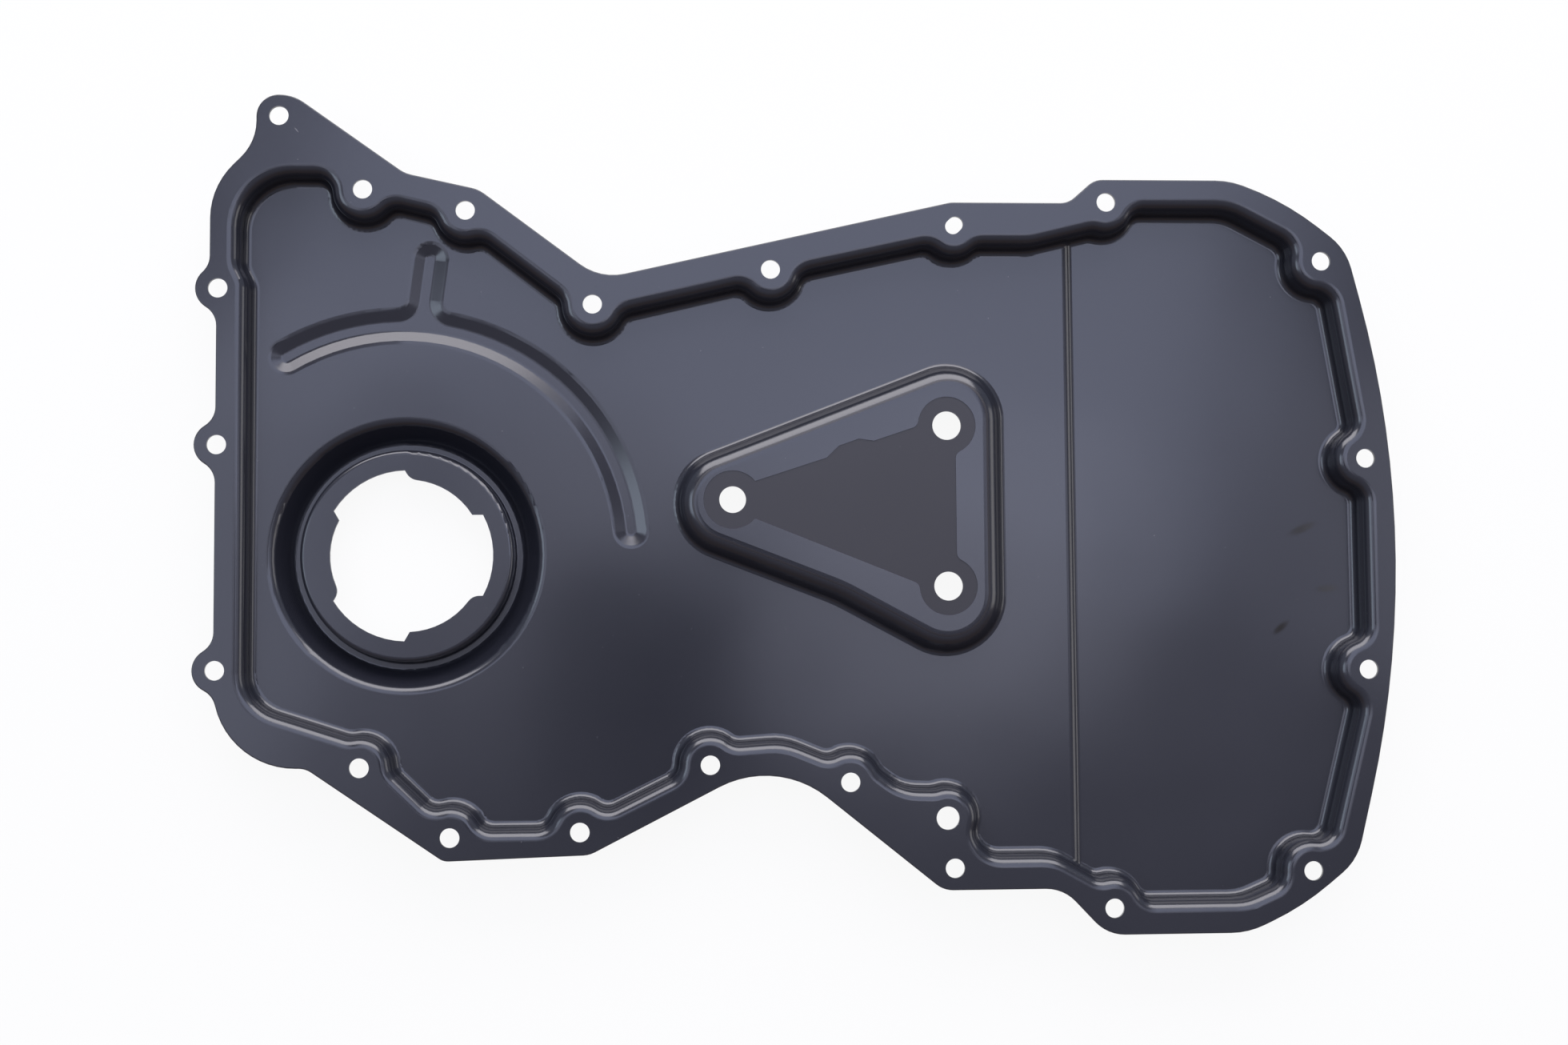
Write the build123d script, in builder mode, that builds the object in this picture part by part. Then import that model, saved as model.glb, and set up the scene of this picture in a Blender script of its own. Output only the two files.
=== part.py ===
from build123d import *
import os
from math import atan2, degrees, radians, tan

os.makedirs("parts", exist_ok=True)

# The sheet. All sizes are millimetres. X runs along the cover, Y across it and Z
# towards the engine, with the origin on the sealing face above the crank axis.
SHEET = 1.4                # thickness of the steel
BEND = 2.4                 # inside radius of the pressed bends
MOUTH_BEND = 2.8           # inside radius where the pan wall turns into the flange
EDGE_ROUND = 0.45          # roll-over along the blanked edge of the flange

# The pan drawn into the sheet
PAN_DEPTH = 11.0           # sealing face to the panel
WALL_DRAFT = 4.0           # lean of the pan wall, degrees
STEP_X = 245.6             # middle of the step across the panel
STEP_DROP = 1.6            # how much deeper the panel is past the step
STEP_LEAN = 50.0           # lean of the step's slope, degrees from upright
STEP_BEND = 2.5            # inside radius of the step's two bends

# Bolt holes of the flange
BOLT_D = 7.0
EAR_R = 8.1                # rim round the three bolts that stand off the left side
EAR_BLEND = 8.0
SCALLOP_R = 10.9           # pan wall stands this far from a bolt's centre
SCALLOP_BLEND = 6.5
EAR_BOLTS = [(-66.8, -41.4), (-66.8, 39.7), (-66.8, 96.5)]
WALL_BOLTS = [
    (-15.2, 132.9), (21.9, 125.3), (68.0, 90.9), (133.2, 103.9), (258.1, 129.4), (338.8, 107.6),
    (353.8, 33.8), (353.1, -44.3), (330.6, -117.7), (256.8, -130.2),
    (160.9, -83.6), (110.1, -76.9), (63.1, -100.4), (16.7, -101.8), (-15.5, -76.6),
]
CORNER_BOLTS = [(-45.4, 159.8), (198.6, -115.0)]
SLOT = (201.2, 120.5)      # locating slot
SLOT_LENGTH = 7.0
SLOT_WIDTH = 5.7
SLOT_ANGLE = 45.0
DOWEL = (196.2, -96.9)     # locating hole
DOWEL_D = 8.4

# Blanked outline of the flange: corner, then its radius
FLANGE = [
    (-53.5, 167.6, 8.0), (-40.4, 167.6, 15.0), (0.0, 138.9, 12.0), (26.7, 133.1, 12.0),
    (70.9, 100.2, 20.0), (200.0, 129.1, 10.0), (244.0, 129.1, 8.0), (254.0, 137.9, 8.0),
    (304.7, 137.9, 30.0), (325.2, 130.5, 100.0), (348.5, 112.3, 22.0), (375.9, 2.0, 380.0),
    (347.2, -114.0, 22.0), (326.6, -130.5, 100.0), (306.0, -139.8, 30.0), (254.0, -139.8, 15.0),
    (238.1, -122.9, 15.0), (194.3, -122.9, 10.0), (134.1, -74.3, 36.0), (66.5, -108.6, 10.0),
    (14.5, -110.2, 6.0), (-34.5, -76.6, 8.0), (-67.3, -76.6, 29.5), (-67.3, 94.0, 1.0),
    (-69.8, 99.0, 1.0), (-69.8, 133.7, 28.0), (-53.5, 150.0, 19.0),
]

# Line where the pan wall meets the sealing face, before the bolts' scallops
MOUTH = [
    (-59.8, 138.4, 19.5), (-26.0, 138.4, 7.0), (-22.5, 132.0, 0.0), (19.5, 122.1, 0.0),
    (67.1, 85.6, 0.0), (133.0, 100.9, 0.0), (196.5, 114.7, 0.0), (205.0, 113.7, 0.0),
    (230.0, 113.7, 25.0), (256.0, 119.9, 0.0), (262.0, 127.1, 0.0), (304.9, 127.1, 20.0),
    (327.3, 115.3, 8.0), (329.2, 106.9, 0.0), (341.0, 106.3, 0.0), (351.4, 43.3, 0.0),
    (353.6, 32.0, 0.0), (353.6, -47.6, 0.0), (336.9, -112.1, 0.0), (323.6, -120.8, 0.0),
    (306.0, -128.3, 20.0), (262.0, -128.3, 0.0), (255.0, -122.1, 0.0), (235.4, -111.2, 20.0),
    (207.4, -111.2, 10.0), (204.9, -94.1, 0.0), (194.5, -87.0, 0.0), (179.9, -86.6, 18.0),
    (165.5, -75.5, 0.0), (155.0, -76.0, 0.0), (137.0, -68.6, 25.0), (113.0, -70.3, 0.0),
    (103.0, -78.8, 0.0), (70.0, -94.9, 0.0), (58.0, -99.5, 0.0), (22.0, -99.5, 0.0),
    (12.0, -94.2, 0.0), (-8.0, -74.7, 0.0), (-17.5, -66.9, 0.0), (-56.7, -54.1, 16.0),
    (-56.7, 99.0, 8.0), (-59.8, 105.5, 8.0),
]

# Stiffening beads pressed into the panel, away from the engine
BEAD_WIDTH = 12.4
BEAD_DEPTH = 1.6
BEAD_LEAN = 70.0           # lean of the beads' slopes, degrees from upright
BEAD_CENTRE = (-1.5, 1.0)
BEAD_R = 83.6
BEAD_START = 5.4           # degrees, at the right end
BEAD_END = 120.5
BRANCH = [(5.2, 86.0), (8.3, 109.2)]
BRANCH_BLEND = 4.0

# Triangular pad raised towards the engine, with its three holes
PAD_HEIGHT = 7.5
PAD_DRAFT = 15.0
PAD_BEND = 5.6             # inside radius round the pad's top
PAD = [(64.3, 18.8, 19.5), (157.0, -17.3, 60.0), (218.7, -50.7, 21.0), (218.7, 78.3, 20.0)]
PAD_HOLES = [(198.0, 46.6), (198.0, -12.6)]
PAD_HOLE_D = 10.6
PAD_END_HOLE = (118.9, 19.5)
PAD_END_HOLE_D = 9.8
COIN_DEPTH = 0.25          # flat coined round the pad's holes
COIN_R = 10.7
COIN_BLEND = 3.0
COIN = [
    (122.0, 14.6), (198.0, -16.0), (201.2, -10.0), (201.2, 45.0), (198.0, 50.0),
    (171.0, 41.0), (165.5, 41.8), (158.0, 39.2), (153.5, 34.8), (122.0, 24.6),
]

# Recess round the crank, from the seal opening outwards: a flat ring, then a groove
OPENING_R = 27.9
WINDOW_DEPTH = 3.4         # the three windows reach this far past the opening
WINDOW_WIDTH = 29.7
WINDOW_BLEND = 5.0
WINDOWS = 3
RING_WIDTH = 10.9          # opening to the groove
RING_DROP = 0.8            # panel to the flat ring
GROOVE_DEPTH = 10.5        # panel to the floor of the groove
GROOVE_RUN = 0.4           # sideways run of the groove's steep inner wall
GROOVE_WIDTH = 3.0         # floor of the groove
GROOVE_FLARE = 6.6         # sideways run of the groove's outer wall
RIM_LAND = 2.7             # rim of the groove to the flat panel
RIM_BEND = 2.4             # inside radii of the bends, from the rim inwards
GROOVE_BEND = 1.5
GROOVE_TIGHT_BEND = 0.6
RING_BEND = 0.3


def outline(corners):
    """Close a line through the corners, each rounded to its own radius."""
    points = [(x, y) for x, y, r in corners]
    return FilletPolyline(*points, radius=[r for x, y, r in corners], close=True)


def lean(draft):
    """Sideways shift of a wall that leans by the draft, for 1 mm of sheet."""
    return tan(radians(90 - draft) / 2)


def on_circles(centres, radius):
    """Pick the corners that lie on circles of one radius round the centres."""
    def picked(vertex):
        reach = [(Vector(*centre) - vertex.center()).length for centre in centres]
        return min(abs(r - radius) for r in reach) < 0.001
    return picked


def level(height):
    """Pick the faces or edges that lie flat at one height."""
    def picked(shape):
        box = shape.bounding_box()
        return abs(box.min.Z - height) < 0.001 and abs(box.max.Z - height) < 0.001
    return picked


# Plans of the flange, the pan's mouth, the pad's foot and the beads' mouths
with BuildSketch() as flange_plan:
    with BuildLine():
        outline(FLANGE)
    make_face()
    with Locations(*EAR_BOLTS):
        Circle(EAR_R)
    fillet(flange_plan.vertices().filter_by(on_circles(EAR_BOLTS, EAR_R)), EAR_BLEND)

with BuildSketch() as mouth_plan:
    with BuildLine():
        outline(MOUTH)
    make_face()
    with Locations(*WALL_BOLTS, SLOT, DOWEL):
        Circle(SCALLOP_R, mode=Mode.SUBTRACT)
    offset(amount=-SCALLOP_BLEND)
    offset(amount=SCALLOP_BLEND)

with BuildSketch() as pad_plan:
    with BuildLine():
        outline(PAD)
    make_face()

with BuildSketch() as bead_plan:
    SlotArc(CenterArc(BEAD_CENTRE, BEAD_R, BEAD_START, BEAD_END - BEAD_START), BEAD_WIDTH)
    SlotArc(Edge.make_line(*BRANCH), BEAD_WIDTH)
    crossings = bead_plan.vertices().filter_by(on_circles([BEAD_CENTRE], BEAD_R + BEAD_WIDTH / 2))
    fillet(crossings.sort_by_distance(BRANCH[0])[:2], BRANCH_BLEND)


def pan(grow):
    """The pan as a solid: its inner face at no growth, its outer face one sheet out."""
    hollow_bend, crest_bend = BEND + grow, BEND + SHEET - grow
    floor = -PAN_DEPTH - grow
    run = STEP_DROP * tan(radians(STEP_LEAN)) / 2
    middle = STEP_X - grow * lean(STEP_LEAN)
    with BuildPart() as body:
        with BuildSketch(Plane.XY.offset(-grow)):
            add(mouth_plan.sketch)
            if grow:
                offset(amount=grow * lean(WALL_DRAFT))
        extrude(amount=-PAN_DEPTH - STEP_DROP, taper=WALL_DRAFT)
        box = body.part.bounding_box()
        with BuildSketch(Plane.XZ):
            with BuildLine():
                bed = FilletPolyline(
                    (box.min.X, floor), (middle - run, floor),
                    (middle + run, floor - STEP_DROP), (box.max.X, floor - STEP_DROP),
                    radius=[STEP_BEND + SHEET - grow, STEP_BEND + grow],
                )
                Polyline(bed @ 1, (box.max.X, 0), (box.min.X, 0), bed @ 0)
            make_face()
        extrude(amount=box.size.Y * 2, both=True, mode=Mode.INTERSECT)
        walls = body.faces().filter_by(lambda face: face.bounding_box().max.Z > -grow - 0.001)
        foot = body.edges().filter_by(lambda edge: edge.center().Z < floor + 0.001)
        fillet(foot.filter_by(lambda edge: edge in walls.edges()), hollow_bend)

        with BuildSketch(Plane.XY.offset(floor)):
            add(pad_plan.sketch)
            if grow:
                offset(amount=-grow * lean(PAD_DRAFT))
        extrude(amount=PAD_HEIGHT, taper=PAD_DRAFT, mode=Mode.SUBTRACT)
        fillet(body.edges(Select.LAST).group_by(Axis.Z)[0], hollow_bend)
        fillet(body.edges().filter_by(level(floor + PAD_HEIGHT)), PAD_BEND + SHEET - grow)

        with BuildSketch(Plane.XY.offset(floor)):
            add(bead_plan.sketch)
            if grow:
                offset(amount=grow * lean(BEAD_LEAN))
        extrude(amount=-BEAD_DEPTH, taper=BEAD_LEAN)
        fillet(body.edges(Select.LAST).group_by(Axis.Z)[-1], crest_bend)
        fillet(body.edges().filter_by(level(floor - BEAD_DEPTH)), hollow_bend)
    return body.part


inner_form = pan(0)
outer_form = pan(SHEET)

with BuildPart() as timing_cover:
    # Flange and pan
    add(flange_plan.sketch)
    extrude(amount=-SHEET)
    add(outer_form)
    underside = timing_cover.faces().filter_by(level(-SHEET))[0]
    fillet(underside.inner_wires()[0].edges(), MOUTH_BEND)
    add(inner_form, mode=Mode.SUBTRACT)
    sealing_face = timing_cover.faces().filter_by(level(0))[0]
    fillet(sealing_face.inner_wires()[0].edges(), MOUTH_BEND + SHEET)
    sealing_face = timing_cover.faces().filter_by(level(0))[0]
    fillet(sealing_face.outer_wire().edges(), EDGE_ROUND)

    # Recess round the crank: a band of sheet turned about the crank axis
    ring_r = OPENING_R + RING_WIDTH
    groove_r = ring_r + GROOVE_RUN
    flare_r = groove_r + GROOVE_WIDTH
    rim_r = flare_r + GROOVE_FLARE
    recess_r = rim_r + RIM_LAND
    ring_z = -PAN_DEPTH - RING_DROP
    groove_z = -PAN_DEPTH - GROOVE_DEPTH
    with BuildSketch(Plane.XY.offset(-PAN_DEPTH)):
        Circle(recess_r)
    extrude(amount=SHEET, both=True, mode=Mode.SUBTRACT)
    with BuildSketch(Plane.XZ):
        with BuildLine():
            FilletPolyline(
                (OPENING_R / 2, ring_z), (ring_r, ring_z), (groove_r, groove_z),
                (flare_r, groove_z), (rim_r, -PAN_DEPTH), (recess_r, -PAN_DEPTH),
                radius=[RING_BEND + SHEET, GROOVE_TIGHT_BEND, GROOVE_BEND, RIM_BEND + SHEET],
            )
            offset(amount=SHEET, side=Side.RIGHT)
        make_face()
    revolve(axis=Axis.Z)

    # Seal opening: a circle with three windows, each eased at its clockwise end
    window_r = OPENING_R + WINDOW_DEPTH
    with BuildSketch() as seal_opening:
        with PolarLocations(0, WINDOWS):
            Rectangle(window_r, WINDOW_WIDTH, align=(Align.MIN, Align.CENTER))
        Circle(window_r, mode=Mode.INTERSECT)
        Circle(OPENING_R)
        turn = 360 / WINDOWS
        ends = seal_opening.vertices().filter_by(on_circles([(0, 0)], OPENING_R))
        fillet(
            ends.filter_by(lambda v: (degrees(atan2(v.Y, v.X)) + turn / 2) % turn < turn / 2),
            WINDOW_BLEND,
        )
    extrude(amount=-PAN_DEPTH * 2, mode=Mode.SUBTRACT)

    # Coined flat and holes of the pad
    pad_top = Plane.XY.offset(PAD_HEIGHT - PAN_DEPTH)
    with BuildSketch(pad_top) as coined:
        with BuildLine():
            Polyline(*COIN, close=True)
        make_face()
        with Locations(*PAD_HOLES, PAD_END_HOLE):
            Circle(COIN_R)
        inward = coined.vertices().filter_by(on_circles(PAD_HOLES, COIN_R))
        fillet(inward, COIN_BLEND)
    extrude(amount=-COIN_DEPTH, mode=Mode.SUBTRACT)
    with BuildSketch(pad_top):
        with Locations(*PAD_HOLES):
            Circle(PAD_HOLE_D / 2)
        with Locations(PAD_END_HOLE):
            Circle(PAD_END_HOLE_D / 2)
    extrude(amount=-SHEET, mode=Mode.SUBTRACT)

    # Holes of the flange
    with BuildSketch():
        with Locations(*EAR_BOLTS, *WALL_BOLTS, *CORNER_BOLTS):
            Circle(BOLT_D / 2)
        with Locations(DOWEL):
            Circle(DOWEL_D / 2)
        with Locations(SLOT):
            SlotOverall(SLOT_LENGTH, SLOT_WIDTH, rotation=SLOT_ANGLE)
    extrude(amount=-SHEET, mode=Mode.SUBTRACT)
timing_cover.part.label = "timing_cover"

export_step(timing_cover.part, "parts/timing_cover.step")
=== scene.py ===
import math

import bpy
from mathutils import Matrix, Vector


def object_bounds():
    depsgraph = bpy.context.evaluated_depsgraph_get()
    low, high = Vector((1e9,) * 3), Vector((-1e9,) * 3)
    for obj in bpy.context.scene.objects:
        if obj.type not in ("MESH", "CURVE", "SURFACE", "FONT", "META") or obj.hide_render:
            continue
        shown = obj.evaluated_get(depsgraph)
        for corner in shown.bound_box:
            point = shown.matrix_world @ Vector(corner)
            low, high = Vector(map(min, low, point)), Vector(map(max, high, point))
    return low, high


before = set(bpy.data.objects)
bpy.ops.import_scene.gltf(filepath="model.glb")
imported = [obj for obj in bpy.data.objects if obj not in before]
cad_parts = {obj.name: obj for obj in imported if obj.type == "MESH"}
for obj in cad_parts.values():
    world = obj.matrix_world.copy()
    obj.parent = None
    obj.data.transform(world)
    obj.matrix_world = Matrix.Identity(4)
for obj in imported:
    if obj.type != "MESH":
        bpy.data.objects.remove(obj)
cad_low, cad_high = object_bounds()

# The photograph's camera, in metres and degrees in the part's frame
CAMERA_PLACE = (0.0892, -0.0403, 0.7836)
CAMERA_TURN = (3.751, -3.490, -0.462)
CAMERA_LENS = 49.59
SENSOR_WIDTH = 36.0
CLIP_NEAR = 0.01
CLIP_FAR = 50.0

# The dark square at the camera's place, which the glossy panel mirrors
SHADE_SIZE = 0.18
SHADE_ROUGHNESS = 0.6
SHADE_DARK = (0.030, 0.026, 0.024, 1)
SHADE_LIGHT = (0.045, 0.040, 0.038, 1)

# The floor
FLOOR_GAP = 0.0002         # clearance under the part
FLOOR_SIZE = 40.0
FLOOR_GLOW = 0.92          # share of the floor that shows as plain white
FLOOR_ROUGHNESS = 0.7
FLOOR_DARK = (0.93, 0.93, 0.935, 1)
FLOOR_LIGHT = (0.96, 0.96, 0.96, 1)

# The world: two colours low down, one at the front and one at the back, and a third overhead
WORLD_FRONT = (0.16, 0.12, 0.10, 1)
WORLD_BACK = (0.30, 0.33, 0.42, 1)
WORLD_TOP = (0.25, 0.25, 0.31, 1)
FRONT_TO_BACK = (-0.7, 0.5)    # the heading's Y, from all front to all back
LOW_TO_TOP = (0.35, 0.85)      # the heading's Z, from none to all of the third colour

# Soft boxes: name, place, what they face, size, watts, colour
MIDDLE = (0.145, 0.0, 0.0)
LAMPS = [
    ("overhead", (0.28, 0.68, 1.5), (0.2, 0.28, 0.0), (1.12, 1.05), 6.05, (0.67, 0.735, 1.0)),
    ("overhead_near", (0.25, 0.03, 1.5), (0.25, 0.03, 0.0), (0.7, 0.3), 0.92, (0.77, 0.80, 1.0)),
    ("overhead_left", (-0.45, 0.05, 1.5), MIDDLE, (0.6, 0.45), 1.0, (0.72, 0.77, 1.0)),
    ("overhead_right", (1.05, 0.12, 1.5), MIDDLE, (0.35, 0.5), 0.48, (0.77, 0.80, 1.0)),
    ("back_box", (0.15, 1.5, 0.85), MIDDLE, (2.4, 1.1), 32.0, (0.98, 0.95, 1.0)),
    ("left_box", (-1.0, 0.1, 1.25), MIDDLE, (0.7, 0.6), 3.1, (0.70, 0.82, 1.0)),
    ("right_box", (1.7, 0.1, 0.6), MIDDLE, (0.9, 0.6), 2.2, (1.0, 0.97, 0.95)),
]

# Colours of the coat
COAT_DARK = (0.014, 0.015, 0.021, 1)
COAT_LIGHT = (0.024, 0.025, 0.033, 1)
COIN_COLOUR = (0.010, 0.007, 0.009, 1)
SMUDGE_COLOUR = (0.010, 0.008, 0.005, 1)
DUST_COLOUR = (0.16, 0.155, 0.15, 1)

# Gloss of the coat
SPECULAR_LEVEL = 0.9
ROUGHNESS_LOW = 0.165
ROUGHNESS_SPREAD = 0.05
COIN_ROUGHER = 0.25        # added on the coined flat
SMUDGE_ROUGHER = -0.09     # added on a smudge, which shines more

# Noise: scale, detail, roughness
CLOUD_NOISE = (9.0, 3.0, 0.55)
SWAY_NOISE = (12.0, 1.0, 0.4)
PEEL_NOISE = (300.0, 2.0, 0.5)
GRAIN_NOISE = (2600.0, 2.0, 0.6)
SMUDGE_NOISE = (240.0, 3.0, 0.5)
PLEAT_NOISE = (700.0, 3.0, 0.6)
FLOOR_NOISE = (6.0, 2.0, 0.5)
SHADE_NOISE = (60.0, 2.0, 0.5)

# Bumps: strength, height in metres
SWAY_BUMP = (1.0, 0.0009)
PEEL_BUMP = (0.12, 0.00004)
GRAIN_BUMP = (0.06, 0.00002)
PLEAT_BUMP = (0.6, 0.0004)

# The pad's coined flat: its height, and how far off it the coined look reaches
COIN_HEIGHT = -0.00375
COIN_EDGE = 0.0001

# Spots on the coat: middle, half length, half width, turn in degrees
SMUDGES = [
    ((0.3331, 0.0085), 0.0075, 0.0022, 24.0),
    ((0.3422, -0.0140), 0.0060, 0.0020, 4.0),
    ((0.3241, -0.0285), 0.0050, 0.0018, 40.0),
]
SCRATCH = ((-0.0390, 0.1545), 0.0016, 0.0003, -50.0)
DUSTY = ((0.3460, 0.0680), 0.0090, 0.0035, 100.0)     # where dust gathers on the right wall
SPOT_EDGE = (1.0, 0.25)        # shares of a spot's reach where it starts and where it is full
SMUDGE_PATCHES = (0.05, 0.45)  # noise values where a smudge starts and where it is full

# Dust specks: cells in a metre, and the share of the cells left clean
LARGE_SPECKS = (260.0, 0.95)
SMALL_SPECKS = (520.0, 0.97)
GATHERED_SPECKS = (900.0, 0.55)
SPECK_EDGE = (0.06, 0.02)      # distances in cells where a speck starts and where it is full

# Wrinkles drawn into the wall: middle, reach
WRINKLES = [
    ((-0.0260, 0.1330), 0.014), ((0.0120, 0.1190), 0.010), ((0.0560, 0.0930), 0.012),
    ((0.2650, -0.1210), 0.009), ((0.3260, 0.1070), 0.011), ((0.3440, 0.0420), 0.009),
    ((0.3440, -0.0360), 0.009), ((0.0530, -0.0960), 0.008), ((0.1000, -0.0780), 0.009),
]
WRINKLE_TOP = (-0.0015, -0.0030)     # heights where they start and where they are full
WRINKLE_FOOT = (-0.0095, -0.0080)
PLEAT_SCALE = (1, 1, 0.12)           # draws the noise out along the wall's height


# Node graphs
class Graph:
    """A short way to write a node tree."""

    def __init__(self, tree):
        self.tree = tree
        tree.nodes.clear()

    def add(self, kind, inputs=None, **settings):
        node = self.tree.nodes.new(kind)
        for name, value in settings.items():
            setattr(node, name, value)
        for key, value in (inputs or {}).items():
            self.feed(node.inputs[key], value)
        return node

    def feed(self, socket, value):
        if isinstance(value, bpy.types.NodeSocket):
            self.tree.links.new(value, socket)
        else:
            socket.default_value = value

    def calc(self, operation, *values, clamp=False):
        node = self.add("ShaderNodeMath", operation=operation, use_clamp=clamp)
        for socket, value in zip(node.inputs, values):
            self.feed(socket, value)
        return node.outputs[0]

    def band(self, value, start, full):
        """0 at the start and 1 where it is full, smooth between them and clamped."""
        node = self.add(
            "ShaderNodeMapRange", {"Value": value, 1: start, 2: full},
            interpolation_type="SMOOTHSTEP",
        )
        return node.outputs[0]

    def mix(self, share, first, second):
        node = self.add(
            "ShaderNodeMix", {"Factor": share, 6: first, 7: second},
            data_type="RGBA", blend_type="MIX",
        )
        return node.outputs[2]

    def largest(self, values):
        highest = values[0]
        for value in values[1:]:
            highest = self.calc("MAXIMUM", highest, value)
        return highest

    def noise(self, place, scale, detail, roughness):
        node = self.add(
            "ShaderNodeTexNoise",
            {"Vector": place, "Scale": scale, "Detail": detail, "Roughness": roughness},
        )
        return node.outputs[0]

    def bump(self, height, strength, distance, under=None):
        """A normal tilted by a height, over another bump's where one is given."""
        inputs = {"Strength": strength, "Distance": distance, "Height": height}
        if under is not None:
            inputs["Normal"] = under
        return self.add("ShaderNodeBump", inputs).outputs[0]

    def spot(self, place, middle, half_length, half_width, turn=0.0):
        """1 inside an ellipse seen from above, fading to 0 at its edge."""
        moved = self.add(
            "ShaderNodeMapping",
            {
                "Vector": place,
                "Location": (middle[0], middle[1], 0),
                "Rotation": (0, 0, math.radians(turn)),
                "Scale": (half_length, half_width, 1),
            },
            vector_type="TEXTURE",
        ).outputs[0]
        flat = self.add("ShaderNodeVectorMath", {0: moved, 1: (1, 1, 0)}, operation="MULTIPLY")
        reach = self.add("ShaderNodeVectorMath", {0: flat.outputs[0]}, operation="LENGTH")
        return self.band(reach.outputs["Value"], *SPOT_EDGE)


def new_material(name):
    material = bpy.data.materials.new(name)
    material.use_nodes = True
    return material, Graph(material.node_tree)


# The dark coat
def specks(g, place, scale, rarity):
    """Small round dots of dust, one in many cells."""
    cells = g.add("ShaderNodeTexVoronoi", {"Vector": place, "Scale": scale})
    near = g.band(cells.outputs["Distance"], *SPECK_EDGE)
    lot = g.add("ShaderNodeSeparateColor", {0: cells.outputs["Color"]}).outputs[0]
    return g.calc("MULTIPLY", near, g.calc("GREATER_THAN", lot, rarity))


def wrinkles(g, place, height):
    """Upright pleats in the wall, near the bends that drew them."""
    drawn = g.largest([g.spot(place, middle, reach, reach) for middle, reach in WRINKLES])
    drawn = g.calc("MULTIPLY", drawn, g.band(height, *WRINKLE_TOP))
    drawn = g.calc("MULTIPLY", drawn, g.band(height, *WRINKLE_FOOT))
    tall = g.add("ShaderNodeMapping", {"Vector": place, "Scale": PLEAT_SCALE}).outputs[0]
    return g.calc("MULTIPLY", drawn, g.noise(tall, *PLEAT_NOISE))


def coat_material():
    material, g = new_material("black_coat")
    place = g.add("ShaderNodeTexCoord").outputs["Object"]
    height = g.add("ShaderNodeSeparateXYZ", {0: place}).outputs["Z"]
    cloud = g.noise(place, *CLOUD_NOISE)

    off_coin = g.calc("ABSOLUTE", g.calc("SUBTRACT", height, COIN_HEIGHT))
    coined = g.calc("LESS_THAN", off_coin, COIN_EDGE)

    gathered = g.calc("MULTIPLY", specks(g, place, *GATHERED_SPECKS), g.spot(place, *DUSTY))
    dust = g.largest([
        specks(g, place, *LARGE_SPECKS),
        specks(g, place, *SMALL_SPECKS),
        gathered,
        g.spot(place, *SCRATCH),
    ])
    smudge = g.largest([g.spot(place, *spot) for spot in SMUDGES])
    patches = g.band(g.noise(place, *SMUDGE_NOISE), *SMUDGE_PATCHES)
    smudge = g.calc("MULTIPLY", smudge, patches)

    colour = g.mix(cloud, COAT_DARK, COAT_LIGHT)
    colour = g.mix(coined, colour, COIN_COLOUR)
    colour = g.mix(smudge, colour, SMUDGE_COLOUR)
    colour = g.mix(dust, colour, DUST_COLOUR)

    roughness = g.calc("MULTIPLY_ADD", cloud, ROUGHNESS_SPREAD, ROUGHNESS_LOW)
    roughness = g.calc("ADD", roughness, g.calc("MULTIPLY", coined, COIN_ROUGHER))
    roughness = g.calc("ADD", roughness, g.calc("MULTIPLY", smudge, SMUDGE_ROUGHER))

    normal = g.bump(g.noise(place, *SWAY_NOISE), *SWAY_BUMP)
    normal = g.bump(g.noise(place, *PEEL_NOISE), *PEEL_BUMP, normal)
    normal = g.bump(g.noise(place, *GRAIN_NOISE), *GRAIN_BUMP, normal)
    normal = g.bump(wrinkles(g, place, height), *PLEAT_BUMP, normal)

    shader = g.add(
        "ShaderNodeBsdfPrincipled",
        {
            "Base Color": colour, "Roughness": roughness,
            "Specular IOR Level": SPECULAR_LEVEL, "Normal": normal,
        },
    )
    g.add("ShaderNodeOutputMaterial", {"Surface": shader.outputs[0]})
    return material


# World, floor and lamps
def seen_directly(g):
    """1 for rays from the camera and for mirrored and refracted ones."""
    path = g.add("ShaderNodeLightPath").outputs
    share = g.calc("ADD", path["Is Camera Ray"], path["Is Glossy Ray"], clamp=True)
    return g.calc("ADD", share, path["Is Transmission Ray"], clamp=True)


def make_world():
    world = bpy.data.worlds.new("studio")
    bpy.context.scene.world = world
    world.use_nodes = True
    g = Graph(world.node_tree)
    heading = g.add("ShaderNodeTexCoord").outputs["Generated"]
    along = g.add("ShaderNodeSeparateXYZ", {0: heading}).outputs
    low = g.mix(g.band(along["Y"], *FRONT_TO_BACK), WORLD_FRONT, WORLD_BACK)
    colour = g.mix(g.band(along["Z"], *LOW_TO_TOP), low, WORLD_TOP)
    soft = g.add("ShaderNodeBackground", {"Color": colour, "Strength": 1.0})
    g.add("ShaderNodeOutputWorld", {"Surface": soft.outputs[0]})


def add_square(name, x, y, z, side):
    half = side / 2
    corners = [(-half, -half), (half, -half), (half, half), (-half, half)]
    mesh = bpy.data.meshes.new(name)
    mesh.from_pydata([(x + right, y + up, z) for right, up in corners], [], [(0, 1, 2, 3)])
    square = bpy.data.objects.new(name, mesh)
    bpy.context.scene.collection.objects.link(square)
    return square


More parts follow.
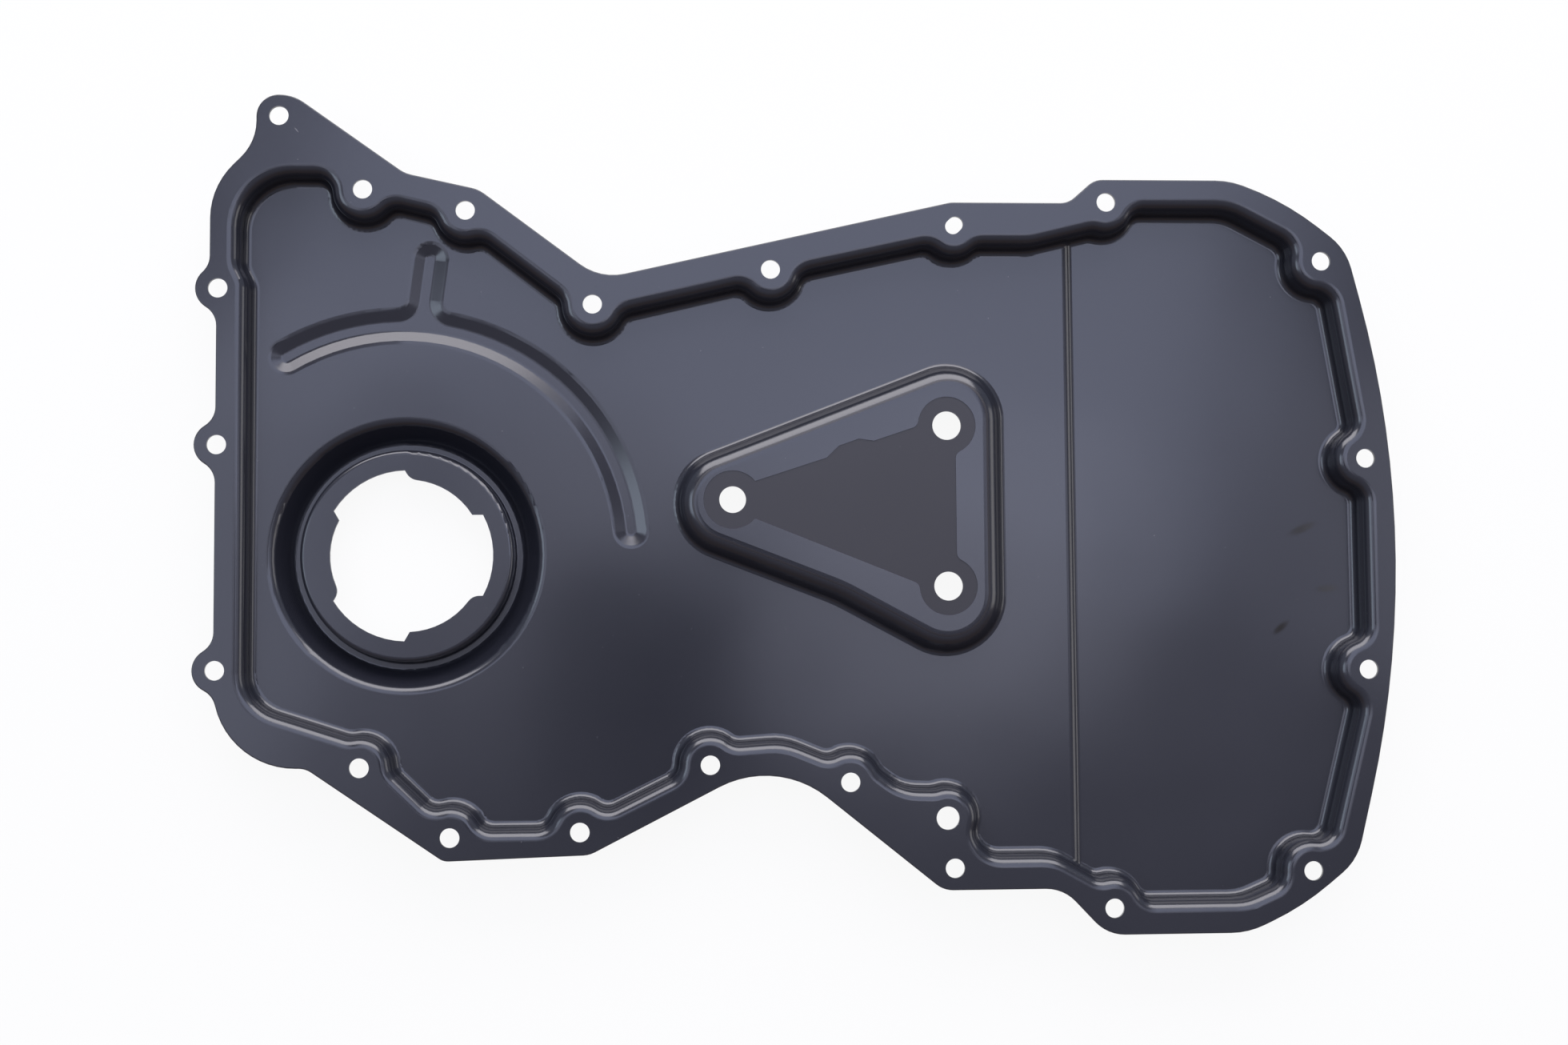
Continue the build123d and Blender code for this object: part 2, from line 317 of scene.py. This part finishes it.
def make_floor(height):
    floor = add_square("floor", 0.0, 0.0, height, FLOOR_SIZE)
    material, g = new_material("pale_floor")
    place = g.add("ShaderNodeTexCoord").outputs["Object"]
    colour = g.mix(g.noise(place, *FLOOR_NOISE), FLOOR_DARK, FLOOR_LIGHT)
    shader = g.add(
        "ShaderNodeBsdfPrincipled", {"Base Color": colour, "Roughness": FLOOR_ROUGHNESS},
    )
    white = g.add("ShaderNodeEmission", {"Color": (1, 1, 1, 1), "Strength": 1.0})
    share = g.calc("MULTIPLY", seen_directly(g), FLOOR_GLOW)
    mixed = g.add("ShaderNodeMixShader", {0: share, 1: shader.outputs[0], 2: white.outputs[0]})
    g.add("ShaderNodeOutputMaterial", {"Surface": mixed.outputs[0]})
    floor.data.materials.append(material)


def add_lamp(name, place, target, size, power, colour):
    light = bpy.data.lights.new(name, "AREA")
    light.shape = "RECTANGLE"
    light.size, light.size_y = size
    light.energy = power
    light.color = colour
    lamp = bpy.data.objects.new(name, light)
    lamp.location = place
    lamp.rotation_euler = (Vector(target) - Vector(place)).to_track_quat("-Z", "Y").to_euler()
    bpy.context.scene.collection.objects.link(lamp)


# The camera and its shade
def add_camera_shade():
    """Seen only in reflections, so the panel mirrors a dark camera."""
    shade = add_square("camera_shade", *CAMERA_PLACE, SHADE_SIZE)
    material, g = new_material("camera_black")
    place = g.add("ShaderNodeTexCoord").outputs["Object"]
    colour = g.mix(g.noise(place, *SHADE_NOISE), SHADE_DARK, SHADE_LIGHT)
    shader = g.add(
        "ShaderNodeBsdfPrincipled", {"Base Color": colour, "Roughness": SHADE_ROUGHNESS},
    )
    g.add("ShaderNodeOutputMaterial", {"Surface": shader.outputs[0]})
    shade.data.materials.append(material)
    shade.visible_camera = False
    shade.visible_diffuse = False
    shade.visible_shadow = False


def add_camera():
    camera = bpy.data.cameras.new("camera")
    camera.lens = CAMERA_LENS
    camera.sensor_width = SENSOR_WIDTH
    camera.clip_start = CLIP_NEAR
    camera.clip_end = CLIP_FAR
    eye = bpy.data.objects.new("camera", camera)
    eye.location = CAMERA_PLACE
    eye.rotation_euler = [math.radians(turn) for turn in CAMERA_TURN]
    bpy.context.scene.collection.objects.link(eye)
    bpy.context.scene.camera = eye


# The cover in its coat, and the studio round it
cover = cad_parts["timing_cover"]
cover.data.materials.clear()
cover.data.materials.append(coat_material())

bpy.context.scene.view_settings.view_transform = "Standard"
make_world()
make_floor(cad_low.z - FLOOR_GAP)
for lamp in LAMPS:
    add_lamp(*lamp)
add_camera_shade()
add_camera()
